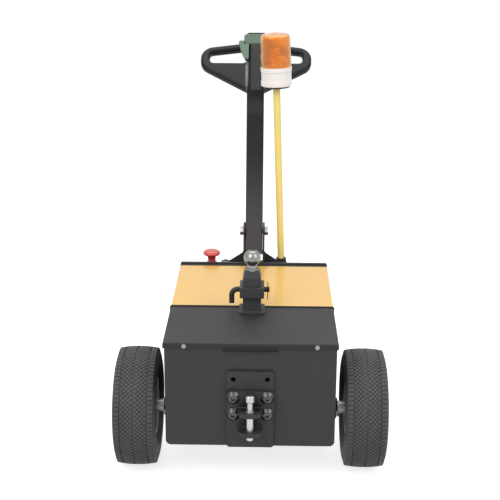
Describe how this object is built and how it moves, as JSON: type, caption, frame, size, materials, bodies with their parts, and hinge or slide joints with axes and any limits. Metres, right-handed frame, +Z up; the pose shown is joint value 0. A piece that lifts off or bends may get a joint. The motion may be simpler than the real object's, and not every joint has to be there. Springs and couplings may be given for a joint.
{
  "type": "walk-behind electric tow tractor",
  "caption": "Walk-behind electric tow tractor with two drive wheels, a swivel caster, tilting tiller, drop-pin hitch, upright tow ball and amber beacon.",
  "frame": {"origin": "on the floor under the middle of the machine's box", "axes": "+Z up, +Y towards the operator's end, -Y towards the tow hitch, +X to the right seen from the hitch end"},
  "size_m": [0.7454, 1.0402, 1.1306],
  "materials": {
    "black_powder": "fine-textured satin black powder coat",
    "black_plastic": "moulded black plastic with a fine grain",
    "yellow_powder": "smooth semi-gloss warm yellow powder coat",
    "pole_yellow": "semi-gloss pale yellow paint",
    "zinc_steel": "bright zinc-plated steel",
    "chrome_ball": "polished chrome",
    "tyre_rubber": "matte black rubber with small-block tread",
    "rim_paint": "silver-grey paint on pressed steel",
    "caster_rubber": "matte dark rubber",
    "caster_core": "grey moulded core",
    "green_plastic": "satin grey-green moulded plastic",
    "amber_lens": "clear amber ribbed polycarbonate",
    "lamp_white": "glossy off-white plastic",
    "red_plastic": "glossy red plastic",
    "battery_case": "black battery case",
    "drive_casting": "grey painted casting"
  },
  "bodies": {
    "chassis": {"front_plate": "black_powder", "side_plate_right": "black_powder", "side_plate_left": "black_powder", "floor_pan": "black_powder", "rear_plate": "black_powder", "cross_beam": "black_powder", "hood_front": "black_powder", "hood_rear": "yellow_powder", "rear_console": "black_plastic", "hitch_plate": "black_powder", "hitch_clevis": "black_powder", "ball_receiver": "black_powder", "ball_mount": "black_powder", "hitch_ball": "chrome_ball", "receiver_pin": "black_powder", "tiller_bracket": "black_powder", "tiller_pivot_bolt": "zinc_steel", "beacon_foot": "black_powder", "beacon_pole": "pole_yellow", "beacon_cradle": "black_plastic", "beacon_base": "lamp_white", "beacon_lens": "amber_lens", "beacon_lamp": "lamp_white", "stop_button_base": "black_plastic", "stop_button": "red_plastic", "key_switch": "zinc_steel", "battery_gauge": "black_plastic", "axle_bearing_right": "black_powder", "axle_bearing_left": "black_powder", "caster_plate": "zinc_steel", "battery_pack": "battery_case", "drive_unit": "drive_casting"},
    "wheel_left": {"wheel_tyre_left": "tyre_rubber", "wheel_rim_left": "rim_paint", "half_shaft_left": "zinc_steel"},
    "wheel_right": {"wheel_tyre_right": "tyre_rubber", "wheel_rim_right": "rim_paint", "half_shaft_right": "zinc_steel"},
    "caster_swivel": {"caster_fork": "zinc_steel", "caster_bolt": "zinc_steel"},
    "caster_wheel": {"caster_hub": "caster_core", "caster_tyre": "caster_rubber"},
    "tiller": {"tiller_tube": "black_powder", "handle_loop": "black_plastic", "control_head": "green_plastic", "throttle_wings": "green_plastic", "belly_switch": "black_plastic"},
    "tow_pin": {"tow_pin": "zinc_steel"}
  },
  "joints": [
    {"name": "wheel_left_spin", "type": "hinge", "parent": "chassis", "child": "wheel_left", "pos_m": [-0.3135, -0.32305, 0.165], "axis": [1, 0, 0], "continuous": true},
    {"name": "wheel_right_spin", "type": "hinge", "parent": "chassis", "child": "wheel_right", "pos_m": [0.3135, -0.32305, 0.165], "axis": [1, 0, 0], "continuous": true},
    {"name": "caster_swivel_turn", "type": "hinge", "parent": "chassis", "child": "caster_swivel", "pos_m": [0, 0.07695, 0.1787], "axis": [0, 0, 1], "continuous": true},
    {"name": "caster_wheel_spin", "type": "hinge", "parent": "caster_swivel", "child": "caster_wheel", "pos_m": [0, 0.03495, 0.075], "axis": [1, 0, 0], "continuous": true},
    {"name": "tiller_tilt", "type": "hinge", "parent": "chassis", "child": "tiller", "pos_m": [0, 0.20695, 0.514], "axis": [-1, 0, 0], "range_deg": [0, 60], "stiffness_Nm_per_rad": 22, "springref_deg": -51.57},
    {"name": "tow_pin_lift", "type": "slide", "parent": "chassis", "child": "tow_pin", "axis": [0, 0, 1], "range_m": [0, 0.075]}
  ]
}
